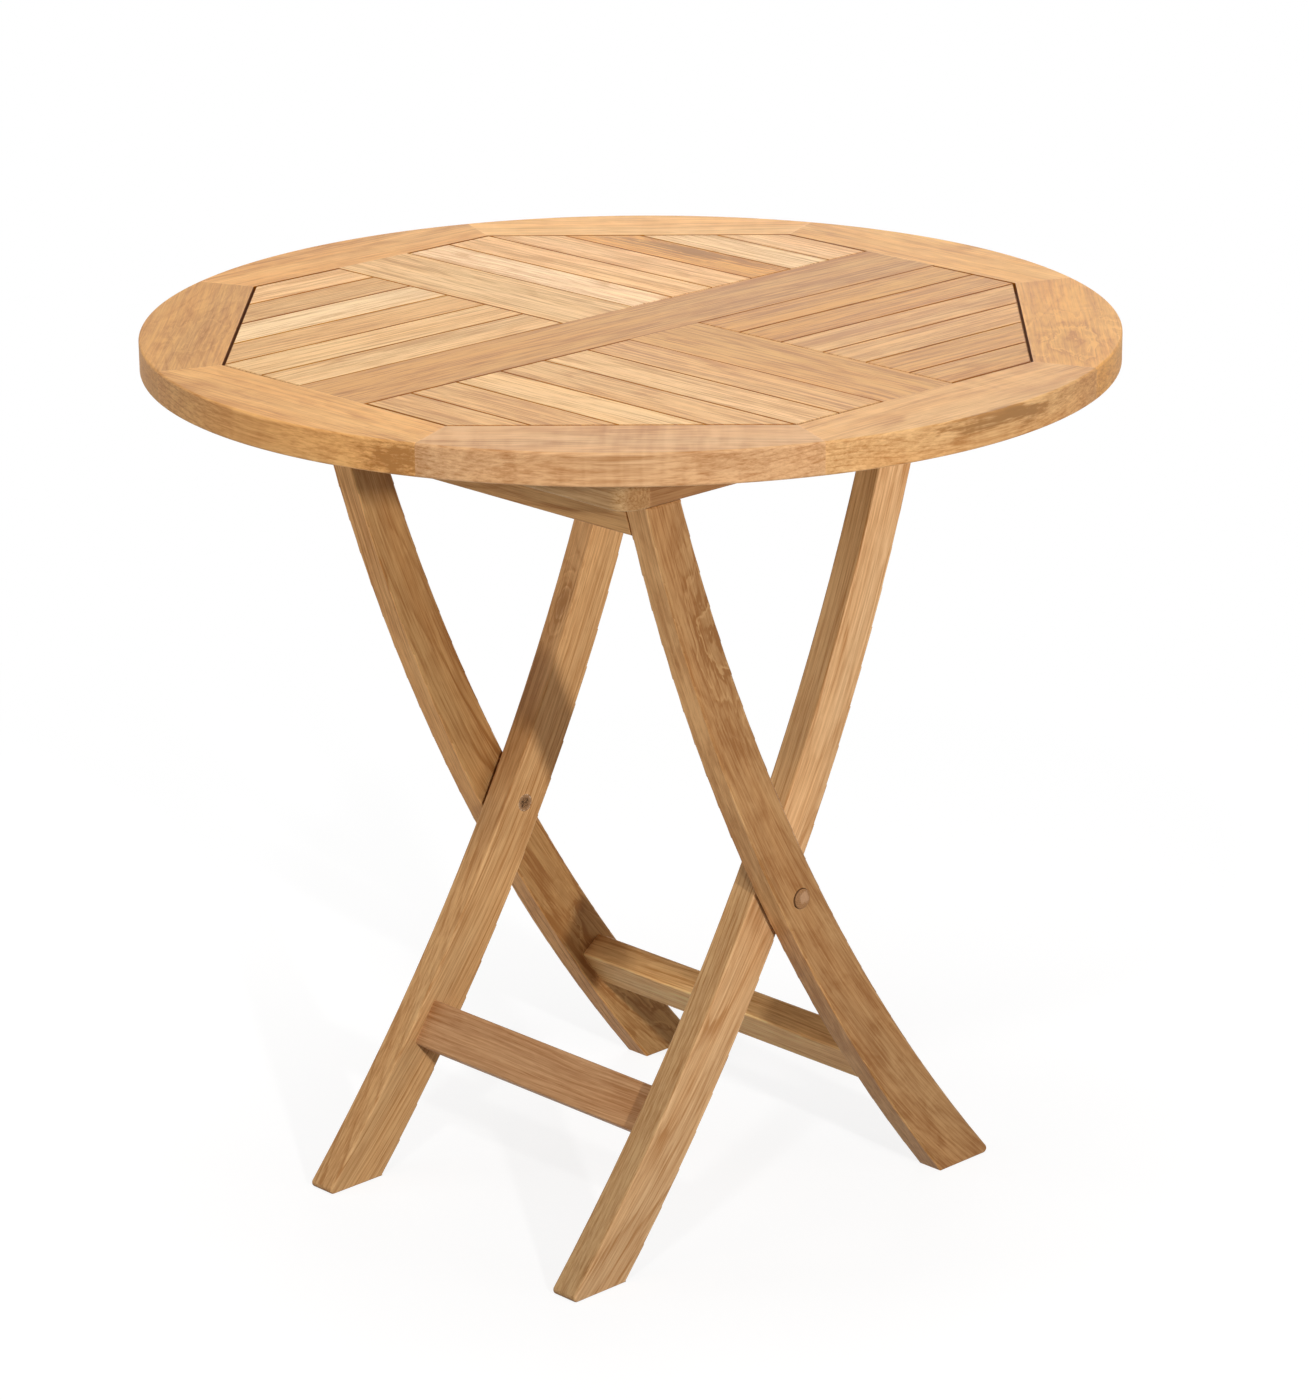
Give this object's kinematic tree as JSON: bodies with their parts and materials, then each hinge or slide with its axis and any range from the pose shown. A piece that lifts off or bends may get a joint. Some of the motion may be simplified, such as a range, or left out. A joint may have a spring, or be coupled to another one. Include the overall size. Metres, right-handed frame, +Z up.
{
  "type": "folding picnic table",
  "caption": "Round slatted folding table on two pairs of crossed curved legs; the top tips up on its hinge as the legs close.",
  "frame": {"origin": "on the floor under the middle of the top", "axes": "+Z up; X across the crossed legs, with the hinged side of the top at +X; Y along the pivot bolts"},
  "size_m": [0.8, 0.8, 0.747],
  "materials": {
    "teak_rim": "sanded, unfinished",
    "teak_slats": "sanded, unfinished",
    "teak_frame": "sanded, unfinished",
    "teak_plugs": "sanded end grain",
    "steel": "stainless"
  },
  "bodies": {
    "inner_frame": {"inner_leg_left": "teak_frame", "inner_leg_right": "teak_frame", "inner_stretcher": "teak_frame", "inner_crossbar": "teak_frame"},
    "top": {"rim_1": "teak_rim", "rim_2": "teak_rim", "rim_3": "teak_rim", "rim_4": "teak_rim", "rim_5": "teak_rim", "rim_6": "teak_rim", "rim_7": "teak_rim", "rim_8": "teak_rim", "rim_splines": "teak_plugs", "main_rail": "teak_slats", "cross_rail_left": "teak_slats", "cross_rail_right": "teak_slats", "slat_rear_1": "teak_slats", "slat_rear_2": "teak_slats", "slat_rear_3": "teak_slats", "slat_rear_4": "teak_slats", "slat_rear_5": "teak_slats", "slat_rear_6": "teak_slats", "slat_left_1": "teak_slats", "slat_left_2": "teak_slats", "slat_left_3": "teak_slats", "slat_left_4": "teak_slats", "slat_left_5": "teak_slats", "slat_left_6": "teak_slats", "slat_front_1": "teak_slats", "slat_front_2": "teak_slats", "slat_front_3": "teak_slats", "slat_front_4": "teak_slats", "slat_front_5": "teak_slats", "slat_front_6": "teak_slats", "slat_right_1": "teak_slats", "slat_right_2": "teak_slats", "slat_right_3": "teak_slats", "slat_right_4": "teak_slats", "slat_right_5": "teak_slats", "slat_right_6": "teak_slats", "apron_left": "teak_frame", "apron_right": "teak_frame", "apron_front": "teak_frame", "apron_rear": "teak_frame", "apron_dowels": "teak_plugs", "apron_screws": "steel", "hinge_bolts": "steel", "hinge_plugs": "teak_plugs", "hinge_nuts": "steel", "hinge_washers": "steel", "hinge_spacers": "steel"},
    "outer_frame": {"outer_leg_left": "teak_frame", "outer_leg_right": "teak_frame", "outer_stretcher": "teak_frame", "outer_crossbar": "teak_frame", "scissor_bolts": "steel", "scissor_plugs": "teak_plugs", "scissor_nuts": "steel", "scissor_washers": "steel", "scissor_spacers": "steel"}
  },
  "joints": [
    {"name": "top_tilt", "type": "hinge", "parent": "inner_frame", "child": "top", "pos_m": [0.1595, 0, 0.69], "axis": [0, 1, 0], "range_deg": [0, 105]},
    {"name": "legs_close", "type": "hinge", "parent": "inner_frame", "child": "outer_frame", "pos_m": [0, 0, 0.297], "axis": [0, 1, 0], "range_deg": [0, 38]}
  ],
  "couplings": [
    {"joint": "legs_close", "follows": "top_tilt", "ratio": 0.3618}
  ]
}
